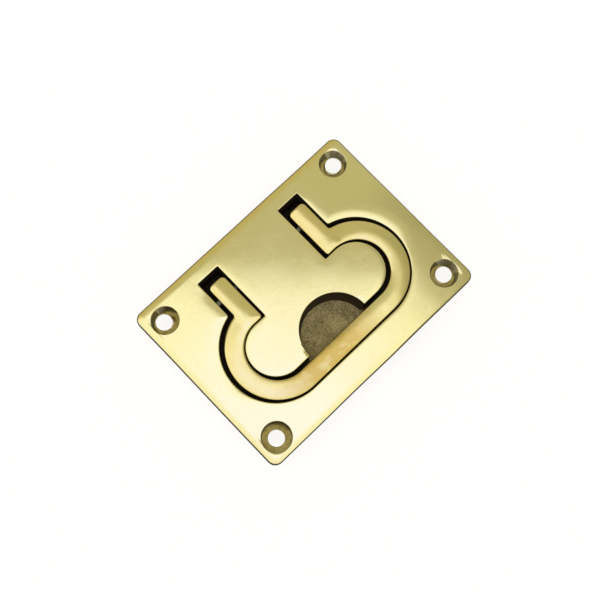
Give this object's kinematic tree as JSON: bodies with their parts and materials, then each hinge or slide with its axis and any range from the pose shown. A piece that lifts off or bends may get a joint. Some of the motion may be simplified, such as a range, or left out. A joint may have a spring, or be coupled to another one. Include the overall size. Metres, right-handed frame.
{
  "type": "flush lifting handle",
  "caption": "Rectangular flush lifting handle: a face plate with countersunk holes and an omega-shaped bail that lies in a recess and swings up on hidden pins.",
  "frame": {"origin": "centre of the plate's flat underside, the seating face that bears on the hatch", "axes": "+X along the plate's long side, +Y from the grip bar towards the hinge, +Z out of the polished face"},
  "size_m": [0.075, 0.055, 0.0097],
  "materials": {
    "polished_brass": "hand-polished cast brass, softly rippled, with fine scratches and small pits; rough as cast in the well",
    "worn_brass": "polished cast brass, slightly duller and warmer, with fine specks and handling marks",
    "pin_steel": "plain drawn steel"
  },
  "bodies": {
    "base": {"base_plate": "polished_brass", "hinge_pin_left": "pin_steel", "hinge_pin_right": "pin_steel"},
    "handle": {"pull_handle": "worn_brass"}
  },
  "joints": [
    {"name": "handle_lift", "type": "hinge", "parent": "base", "child": "handle", "pos_m": [0, 0.0153, -0.0012], "axis": [-1, 0, 0], "range_deg": [0, 95]}
  ]
}
